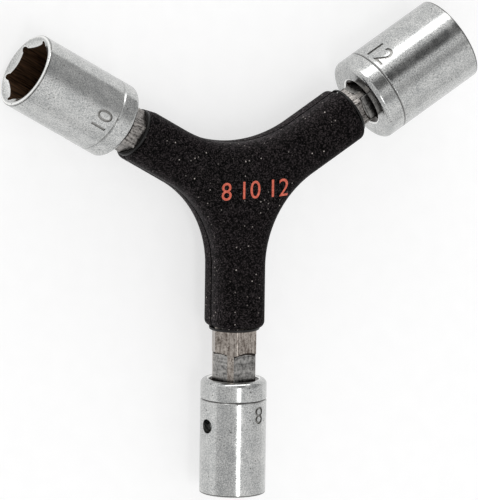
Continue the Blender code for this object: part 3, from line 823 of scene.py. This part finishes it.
def number_on_carrier_tree():
    """A number laid from above on the Carrier object's surface, its face Above it."""
    tree, given = new_tree("number_on_carrier", {
        "Number": "String", "Size": "Float", "Thickness": "Float", "Above": "Float",
        "Place": "Vector", "Carrier": "Object", "Material": "Material"})
    slab = flat_number(tree, given)
    place = add_node(tree, "GeometryNodeInputPosition")
    split = add_node(tree, "ShaderNodeSeparateXYZ", {"Vector": place})
    flat = add_node(tree, "ShaderNodeCombineXYZ", {
        "X": split.outputs["X"], "Y": split.outputs["Y"]})
    over = add_node(tree, "ShaderNodeVectorMath", {0: flat, 1: given["Place"]})
    carrier = add_node(tree, "GeometryNodeObjectInfo", {"Object": given["Carrier"]})
    landed = add_node(tree, "GeometryNodeRaycast", {
        "Target Geometry": carrier.outputs["Geometry"], "Source Position": over,
        "Ray Direction": (0, 0, -1), "Ray Length": RAY_LENGTH})
    lift = add_node(tree, "ShaderNodeMath", {0: split.outputs["Z"], 1: given["Above"]})
    raised = add_node(tree, "ShaderNodeVectorMath", {
        0: landed.outputs["Hit Normal"], "Scale": lift}, operation="SCALE")
    skin = add_node(tree, "ShaderNodeVectorMath", {
        0: landed.outputs["Hit Position"], 1: raised})
    moved = add_node(tree, "GeometryNodeSetPosition", {"Geometry": slab, "Position": skin})
    return finish_tree(tree, given, moved)


# Grip

def grip_outline(inset, end_inset):
    """Outline of the Y, drawn in by inset along its sides and end_inset at the arm ends."""
    half = GRIP_HALF_WIDTH - inset
    quarter = math.pi / 2
    points = []
    for arm in ARMS:
        out = Vector((math.cos(arm.angle), math.sin(arm.angle)))
        left = Vector((-out.y, out.x))
        points += arc(between_arms(arm, GRIP_HALF_WIDTH + arm.saddle_before),
                      arm.saddle_before + inset,
                      arm.angle + quarter + HALF_SPACING, arm.angle + quarter, SADDLE_STEPS)
        corner_along = out * (arm.length - end_inset - GRIP_END_RADIUS)
        corner_across = left * (half - GRIP_END_RADIUS)
        points += arc(corner_along - corner_across, GRIP_END_RADIUS,
                      arm.angle - quarter, arm.angle, CORNER_STEPS)
        points += arc(corner_along + corner_across, GRIP_END_RADIUS,
                      arm.angle, arm.angle + quarter, CORNER_STEPS)
    return points


def between_arms(arm, off_axis):
    """The point before the arm, between it and its neighbour, at off_axis from both."""
    between = arm.angle - HALF_SPACING
    return Vector((math.cos(between), math.sin(between))) * off_axis / math.sin(HALF_SPACING)


def grip_layers():
    """Height and insets of each layer of a half, from the lip at the seam to the flat face."""
    half_thickness = GRIP_TOP / 2
    layers = []
    for height, inset in arc((SEAM_GAP / 2 + SEAM_LIP, SEAM_LIP), SEAM_LIP,
                             math.pi, math.pi * 1.5, LIP_STEPS):
        layers.append((height, inset, inset))
    for i in range(EDGE_STEPS + 1):
        turn = math.pi / 2 * i / EDGE_STEPS
        inset = GRIP_EDGE_RADIUS * (1 - math.cos(turn))
        height = half_thickness - GRIP_EDGE_RADIUS * (1 - math.sin(turn))
        rise = max(0, height - half_thickness + GRIP_END_RADIUS)
        end_inset = GRIP_END_RADIUS - math.sqrt(max(0, GRIP_END_RADIUS ** 2 - rise ** 2))
        layers.append((height, inset, end_inset))
    return layers


def grip_half(name, side):
    """One half of the grip, a stack of outlines; side is 1 for the front and -1 for the rear."""
    bm = bmesh.new()
    rings = []
    for height, inset, end_inset in grip_layers():
        outline = grip_outline(inset, end_inset)
        rings.append([bm.verts.new((x, y, CENTRE.z + side * height)) for x, y in outline])
    for lower, upper in zip(rings, rings[1:]):
        for i in range(len(lower)):
            j = (i + 1) % len(lower)
            bm.faces.new((lower[i], lower[j], upper[j], upper[i]))
    bm.faces.new(rings[0])
    bm.faces.new(rings[-1])
    return mesh_from(name, bm)


def channel_steps(side):
    """What is cut from a half, the bars' channels and the beads' pockets, and its pegs or holes."""
    steps = []
    top = SEAM_GAP / 2 + PEG_LENGTH
    for arm in ARMS:
        channel = prism("channel_" + arm.size, hexagon(BAR_ACROSS_FLATS + 2 * CHANNEL_FIT),
                        -BAR_ACROSS_FLATS / 4, arm.length + OVERRUN)
        steps.append((channel, arm.matrix, "DIFFERENCE"))
        pocket, pocket_place, inner = bead_pocket(arm)
        steps.append((pocket, pocket_place, "DIFFERENCE"))
        skin = between_arms(arm, GRIP_HALF_WIDTH + arm.saddle_before).length - arm.saddle_before
        middle = between_arms(arm, (inner + skin) / 2 * math.sin(HALF_SPACING)).to_3d() + CENTRE
        radius = (skin - inner) * PEG_SHARE
        if side > 0:
            peg = prism("peg_" + arm.size, polygon(radius, HOLE_SIDES), -top, top)
            steps.append((peg, Matrix.Translation(middle), "UNION"))
        else:
            hole = prism("peg_hole_" + arm.size, polygon(radius + PEG_FIT, HOLE_SIDES),
                         -top - PEG_FIT, 0)
            steps.append((hole, Matrix.Translation(middle), "DIFFERENCE"))
    return steps


def bead_pocket(arm):
    """The pocket round the weld bead before the arm, its place, and how far out it reaches."""
    radius = BEAD_RADIUS + CHANNEL_FIT
    bm = bmesh.new()
    bmesh.ops.create_uvsphere(bm, u_segments=HOLE_SIDES, v_segments=HOLE_SIDES // 2, radius=1)
    bmesh.ops.scale(bm, verts=bm.verts, vec=(radius, radius, BEAD_HALF_HEIGHT + CHANNEL_FIT))
    bar_corner = BAR_ACROSS_FLATS / 2 / HEX_COSINE
    middle = between_arms(arm, bar_corner - BEAD_RADIUS / 2 * math.sin(HALF_SPACING))
    place = Matrix.Translation(middle.to_3d() + CENTRE)
    return mesh_from("pocket_" + arm.size, bm), place, middle.length + radius


def make_grip(look, ink):
    for name, side in (("grip_front", 1), ("grip_rear", -1)):
        mesh = carve(grip_half(name, side), channel_steps(side))
        store_seam_shade(mesh)
        smooth_by_angle(mesh)
        shell = add_piece(name + "_shell", mesh, "wrench", name, [look])
        if side > 0:
            make_print(shell, ink)


def make_print(shell, ink):
    """Plain size numbers printed over the hub, one film that follows the grip's face."""
    over = Vector((*PRINT_PLACE, GRIP_TOP + OVERRUN))
    mesh = grow("size_numbers_print", number_on_carrier_tree(), {
        "Number": PRINT_TEXT, "Size": PRINT_HEIGHT, "Thickness": 2 * PRINT_FILM,
        "Above": PRINT_FILM, "Place": over, "Carrier": shell, "Material": ink})
    add_piece("size_numbers_print", mesh, "wrench", None, [ink])


# Core

def merged_copy(node):
    """A CAD node's mesh with its loose triangles joined to whole faces again."""
    bm = bmesh.new()
    bm.from_mesh(frame["nodes"][node].data)
    bmesh.ops.remove_doubles(bm, verts=bm.verts, dist=MERGE_DISTANCE)
    bmesh.ops.dissolve_limit(bm, angle_limit=FLAT_ANGLE, verts=bm.verts, edges=bm.edges)
    mesh = bpy.data.meshes.new(node)
    bm.to_mesh(mesh)
    bm.free()
    return mesh


def worn_edges(mesh, width):
    """Wear the sharp edges of a mesh to narrow flats, which catch the light."""
    carrier = link_object(mesh.name, mesh)
    modifier = carrier.modifiers.new("worn_edges", "BEVEL")
    modifier.width = width
    modifier.segments = 1
    modifier.limit_method = "ANGLE"
    modifier.angle_limit = WORN_ANGLE
    modifier.harden_normals = False
    return finished_mesh(carrier)


def mark_milled_faces(mesh, arm):
    """Give the second material to what the mill cut, all that isn't on the hexagon, and the third,
    a painted shade, to the shoulders where its cut ends and to a narrow line along them."""
    turn = arm.matrix.to_3x3().inverted()
    bm = bmesh.new()
    bm.from_mesh(mesh)
    for face in bm.faces:
        centre = arm.inverse @ face.calc_center_median()
        normal = turn @ face.normal
        on_hexagon = centre.xy.dot(normal.xy) > (BAR_ACROSS_FLATS - BAR_EDGE) / 2
        if centre.z > arm.collar_start + OVERRUN and not on_hexagon:
            facing_out = normal.z > SHOULDER_FACING and centre.z < arm.drive_face
            face.material_index = 2 if facing_out else 1
    flats = [face for face in bm.faces if face.material_index == 1
             and any(beside.material_index == 2 for edge in face.edges
                     for beside in edge.link_faces)]
    border = bmesh.ops.inset_individual(bm, faces=flats, thickness=SHOULDER_SHADE_LINE)["faces"]
    for face in border:
        if any(beside.material_index == 2 and beside not in border
               for edge in face.edges for beside in edge.link_faces):
            face.material_index = 2
    bm.to_mesh(mesh)
    bm.free()


def make_shank(arm, looks):
    node = "hex_shank_" + arm.size
    mesh = worn_edges(merged_copy(node), BAR_EDGE)
    mark_milled_faces(mesh, arm)
    store_arm_place(mesh, arm)
    store_seat(mesh, arm)
    smooth_by_angle(mesh, BAR_SHARP_ANGLE)
    add_piece(node + "_bar", mesh, "wrench", node, looks)


def make_collar(arm, tree, look):
    """Thin turned ring with the bar's hexagon through it, its outer edge rounded."""
    node = "end_collar_" + arm.size
    radius, length = arm.collar_radius, arm.collar_length
    edge = arc((radius - COLLAR_EDGE, length - COLLAR_EDGE), COLLAR_EDGE,
               0, math.pi / 2, CORNER_STEPS)
    disc = turned_mesh(node, tree, [(0, 0), (radius, 0)] + edge + [(0, length)], look)
    bore = prism("bar_hole", hexagon(BAR_ACROSS_FLATS + 2 * COLLAR_FIT),
                 -OVERRUN, length + OVERRUN)
    mesh = carve(disc, [(bore, Matrix.Identity(4), "DIFFERENCE")])
    mesh.transform(arm.place(arm.collar_start))
    smooth_by_angle(mesh)
    add_piece(node + "_ring", mesh, "wrench", node, [look])


def turned_mesh(name, tree, profile, look):
    """A solid turned from (radius, height) points that start and end on the axis."""
    start = bpy.data.meshes.new(name)
    points = [(radius, -height, 0) for radius, height in profile]
    start.from_pydata(points, [(i, i + 1) for i in range(len(points) - 1)], [])
    mesh = grow(name, tree, {
        "Path Radius": OVERRUN, "Sides": TURNED_SIDES, "Merge Distance": MERGE_DISTANCE,
        "Material": look}, start)
    bm = bmesh.new()
    bm.from_mesh(mesh)
    return mesh_from(name, bm)


def make_ball(arm, tree, look):
    """Bearing ball, turned from a half circle."""
    node = "detent_ball_" + arm.size
    quarter = math.pi / 2
    profile = arc((0, 0), BALL_DIAMETER / 2, -quarter, quarter, 2 * CORNER_STEPS)
    mesh = turned_mesh(node, tree, profile, look)
    mesh.transform(arm.matrix @ Matrix.Translation((0, arm.ball_out, arm.ball_height)))
    mesh.shade_smooth()
    add_piece(node + "_polished", mesh, node, node, [look])


def make_spring(arm, tree, look):
    """Spring wound along the detent's axis."""
    node = "detent_spring_" + arm.size
    points = arm.local_points(node)
    low = min(point.y for point in points)
    high = max(point.y for point in points)
    reach = max(math.hypot(point.x, point.z - arm.ball_height) for point in points)
    mesh = grow(node, tree, {
        "Turns": float(SPRING_TURNS), "Steps": SPRING_STEPS, "Height": high - low - SPRING_WIRE,
        "Coil Radius": reach - SPRING_WIRE / 2, "Wire Radius": SPRING_WIRE / 2,
        "Wire Sides": WIRE_SIDES, "Material": look})
    lay_over = Matrix.Rotation(-math.pi / 2, 4, "X")
    mesh.transform(arm.matrix @ Matrix.Translation((0, low + SPRING_WIRE / 2, arm.ball_height))
                   @ lay_over)
    smooth_by_angle(mesh, WIRE_SHARP_ANGLE)
    spring = add_piece(node + "_wire", mesh, "wrench", node, [look])
    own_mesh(spring)


# Sockets

def socket_profile(arm):
    """Outer form and both mouths of a socket, from the drive end to the nut end."""
    length = arm.socket_length
    radius = arm.radius
    quarter = math.pi / 2
    half_groove = GROOVE_WIDTH / 2
    start = [(0, DRIVE_MOUTH_DEPTH), (DRIVE_SQUARE / 2, DRIVE_MOUTH_DEPTH)]
    start += arc((DRIVE_MOUTH_DIAMETER / 2 + DRIVE_LIP_RADIUS, DRIVE_LIP_RADIUS),
                 DRIVE_LIP_RADIUS, math.pi, math.pi * 1.5, CORNER_STEPS)
    start.append((start[-1][0] + WALL_EDGE_RING, 0))
    edge = arc((radius - DRIVE_EDGE_RADIUS, DRIVE_EDGE_RADIUS), DRIVE_EDGE_RADIUS,
               -quarter, 0, 2 * CORNER_STEPS)
    groove = [(radius - depth, GROOVE_FROM_DRIVE_FACE + off) for off, depth in (
        (-half_groove - GROOVE_SHOULDER, 0), (-half_groove, GROOVE_SHOULDER / 2),
        (0, GROOVE_DEPTH),
        (half_groove, GROOVE_SHOULDER / 2), (half_groove + GROOVE_SHOULDER, 0))]
    collar = wall_rings(radius, DRIVE_EDGE_RADIUS, groove[0][1])
    wall = wall_rings(radius, groove[-1][1], length - MOUTH_EDGE_RADIUS)
    rim = arc((radius - MOUTH_EDGE_RADIUS, length - MOUTH_EDGE_RADIUS), MOUTH_EDGE_RADIUS,
              0, quarter, CORNER_STEPS)
    mouth = [(arm.nut_reach + NUT_MOUTH_WIDENING, length),
             (arm.nut_apothem - NUT_MOUTH_WIDENING, length - NUT_MOUTH_DEPTH),
             (0, length - NUT_MOUTH_DEPTH)]
    return start + edge + collar + groove + wall + rim + mouth


def wall_rings(radius, low, high):
    """Rings between two edges of a straight wall, close to each edge and about a millimetre apart
    in between, so that the wall shades evenly and a cut changes only what is next to it."""
    near, far = low + WALL_EDGE_RING, high - WALL_EDGE_RING
    steps = max(1, round((far - near) / WALL_RING_SPACING))
    return [(radius, near + (far - near) * i / steps) for i in range(steps + 1)]


def trimmed_square(side, trim):
    """A square with a flat facing local X, its corners trimmed off."""
    along = side / 2 - trim
    corner = [(side / 2, along), (along, side / 2)]
    points = []
    for _ in range(4):
        points += corner
        corner = [(-y, x) for x, y in corner]
    return points


def nut_outline(arm):
    """The nut's hexagon, a flat facing local X, with each corner relieved in a small round."""
    centre_reach = arm.nut_reach - NUT_CORNER_ROUND
    to_flat = arm.nut_apothem - centre_reach * HEX_COSINE
    spread = math.pi / HEX_SIDES + math.acos(to_flat / NUT_CORNER_ROUND)
    points = []
    for x, y in polygon(centre_reach, HEX_SIDES, math.pi / HEX_SIDES):
        facing = math.atan2(y, x)
        points += arc((x, y), NUT_CORNER_ROUND, facing - spread, facing + spread, CORNER_STEPS)
    return points


def socket_steps(arm, number_tree):
    """What is cut from a socket: the square, the way through, the nut, the cross hole, the mark."""
    nut_floor = arm.socket_length - NUT_DEPTH
    square = prism("square", trimmed_square(DRIVE_SQUARE + 2 * DRIVE_FIT, DRIVE_CORNER_TRIM),
                   -OVERRUN, DRIVE_DEPTH, 1)
    way = prism("way", polygon(THROUGH_DIAMETER / 2, HOLE_SIDES),
                DRIVE_DEPTH - OVERRUN, nut_floor + OVERRUN, 1)
    nut = prism("nut", nut_outline(arm), nut_floor, arm.socket_length + OVERRUN, 1)
    hole = prism("hole", polygon(DETENT_HOLE_DIAMETER / 2, HOLE_SIDES),
                 0, arm.radius + OVERRUN)
    outwards = Matrix.Rotation(-math.pi / 2, 4, "X")
    hole_place = Matrix.Translation((0, 0, arm.ball_height - arm.drive_face)) @ outwards
    height, baseline, angle = MARKS[arm.size]
    mark = grow("mark", number_tree, {
        "Number": arm.size, "Size": height / DIGIT_SHARE, "Thickness": 2 * MARK_DEPTH,
        "Above": MARK_DEPTH, "Radius": arm.radius, "Baseline": baseline,
        "Angle": arm.front_angle + math.radians(angle)})
    mark.materials.clear()
    for face in mark.polygons:
        face.material_index = 2
    straight = Matrix.Identity(4)
    cuts = ((square, straight), (way, straight), (nut, straight), (hole, hole_place),
            (mark, straight))
    return [(cutter, place, "DIFFERENCE") for cutter, place in cuts]


def make_socket(arm, tree, number_tree, looks):
    node = "socket_" + arm.size
    body = turned_mesh(node, tree, socket_profile(arm), looks[0])
    steps = socket_steps(arm, number_tree)
    for mesh in [body] + [step[0] for step in steps]:
        give_looks(mesh, looks)
    mesh = carve(body, steps)
    mesh.transform(arm.place(arm.drive_face))
    store_arm_place(mesh, arm)
    store_painted_light(mesh, arm)
    smooth_by_angle(mesh)
    add_piece(node + "_plated", mesh, node, node, looks)


# Studio

def make_floor():
    """Plain pale floor just under the lowest point of the wrench."""
    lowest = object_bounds()[0][2]
    half = FLOOR_SIZE / 2
    mesh = bpy.data.meshes.new("studio_floor")
    corners = [(-half, -half), (half, -half), (half, half), (-half, half)]
    mesh.from_pydata([(x, y, lowest - FLOOR_GAP) for x, y in corners], [], [(0, 1, 2, 3)])
    mesh.materials.append(studio_paper())
    link_object("studio_floor", mesh)


def add_light(name, direction, long_axis, across, along, radiance):
    """A soft rectangular light that faces the wrench from that direction, its length on an axis."""
    data = bpy.data.lights.new(name, "AREA")
    data.shape = "RECTANGLE"
    data.size = across
    data.size_y = along
    data.energy = radiance * math.pi * across * along
    lamp = bpy.data.objects.new(name, data)
    bpy.context.collection.objects.link(lamp)
    towards = Vector(direction).normalized()
    side = Vector(long_axis).cross(towards).normalized()
    axes = Matrix((side, towards.cross(side), towards)).transposed()
    lamp.location = CENTRE + towards * LIGHT_DISTANCE
    lamp.rotation_euler = axes.to_euler()


def make_surroundings():
    """Pale studio round the wrench, with cards where the metal is to look darker or lighter."""
    world = bpy.data.worlds.new("studio")
    bpy.context.scene.world = world
    world.use_nodes = True
    tree = world.node_tree
    direction = add_node(tree, "ShaderNodeTexCoord").outputs["Generated"]
    split = add_node(tree, "ShaderNodeSeparateXYZ", {"Vector": direction})
    height = add_node(tree, "ShaderNodeMapRange", {
        "Value": split.outputs["Z"], "From Min": 0.0, "From Max": CEILING_START})
    shade = add_node(tree, "ShaderNodeMix", {
        "Factor": height, 6: grey(WALL_BRIGHTNESS), 7: grey(CEILING_BRIGHTNESS)},
        data_type="RGBA").outputs[2]
    for towards, spread, soft, brightness in CARDS:
        facing = add_node(tree, "ShaderNodeVectorMath", {
            0: direction, 1: Vector(towards).normalized()}, operation="DOT_PRODUCT")
        card = add_node(tree, "ShaderNodeMapRange", {
            "Value": facing.outputs["Value"], "From Min": math.cos(math.radians(spread + soft)),
            "From Max": math.cos(math.radians(spread))}, interpolation_type="SMOOTHSTEP")
        shade = add_node(tree, "ShaderNodeMix", {
            "Factor": card, 6: shade, 7: grey(brightness)}, data_type="RGBA").outputs[2]
    tree.links.new(shade, tree.nodes["Background"].inputs["Color"])


def grey(brightness):
    return (brightness, brightness, brightness, 1)


def make_camera():
    """The photograph's view: from the upper left front, a long way off, and rolled."""
    back = Vector((math.cos(VIEW_ELEVATION) * math.cos(VIEW_AZIMUTH),
                   math.cos(VIEW_ELEVATION) * math.sin(VIEW_AZIMUTH),
                   math.sin(VIEW_ELEVATION)))
    data = bpy.data.cameras.new("photo_view")
    data.lens = VIEW_LENS
    data.clip_end = 10 * VIEW_DISTANCE
    camera = bpy.data.objects.new("photo_view", data)
    bpy.context.collection.objects.link(camera)
    camera.location = VIEW_AIM + back * VIEW_DISTANCE
    roll = Quaternion((0, 0, 1), VIEW_ROLL)
    camera.rotation_euler = (back.to_track_quat("Z", "Y") @ roll).to_euler()
    bpy.context.scene.camera = camera


def main():
    turning = turning_tree()
    coiling = coiling_tree()
    numbering = number_round_arm_tree()
    # Painted shade for the mill shoulders and the line along them.
    shoulder_shade = small_steel("mill_shoulder_oily", "#120e0b", "#3b322b", 0.5, 0.3 * MM)
    plain_bar = drawn_bar_steel("drawn_bar_steel", "#645a53", "#bcb4ac")
    # Painted shade: the bars of 10 and 12 get a darker copy of the bar steel.
    shaded_bar = drawn_bar_steel("drawn_bar_steel_stained", "#292625", "#9d9995")
    milled = milled_steel()
    bars = {"8": plain_bar, "10": shaded_bar, "12": shaded_bar}
    collar_look = satin_nylon()
    ball_look = small_steel("bearing_steel_polished", "#b8b8b8", "#d6d6d6", 0.12, 0.5 * MM)
    spring_look = small_steel("spring_wire_drawn", "#6c6b6a", "#9a9996", 0.35, 0.1 * MM)
    weld_look = small_steel("weld_metal_oxidised", "#3f3b38", "#77706a", 0.55, 0.3 * MM)
    socket_looks = [satin_chrome(), broached_steel(), struck_steel()]
    make_grip(spark_eroded_nylon(), pad_printed_ink())
    for arm in ARMS:
        make_shank(arm, [bars[arm.size], milled, shoulder_shade])
        make_collar(arm, turning, collar_look)
        make_ball(arm, turning, ball_look)
        make_spring(arm, coiling, spring_look)
        make_socket(arm, turning, numbering, socket_looks)
    for name, node in frame["nodes"].items():
        if name.startswith("weld_bead"):
            node.material_slots[0].material = weld_look
    make_floor()
    for light in LIGHTS:
        add_light(*light)
    make_surroundings()
    make_camera()
    bpy.context.scene.view_settings.view_transform = "Standard"


main()
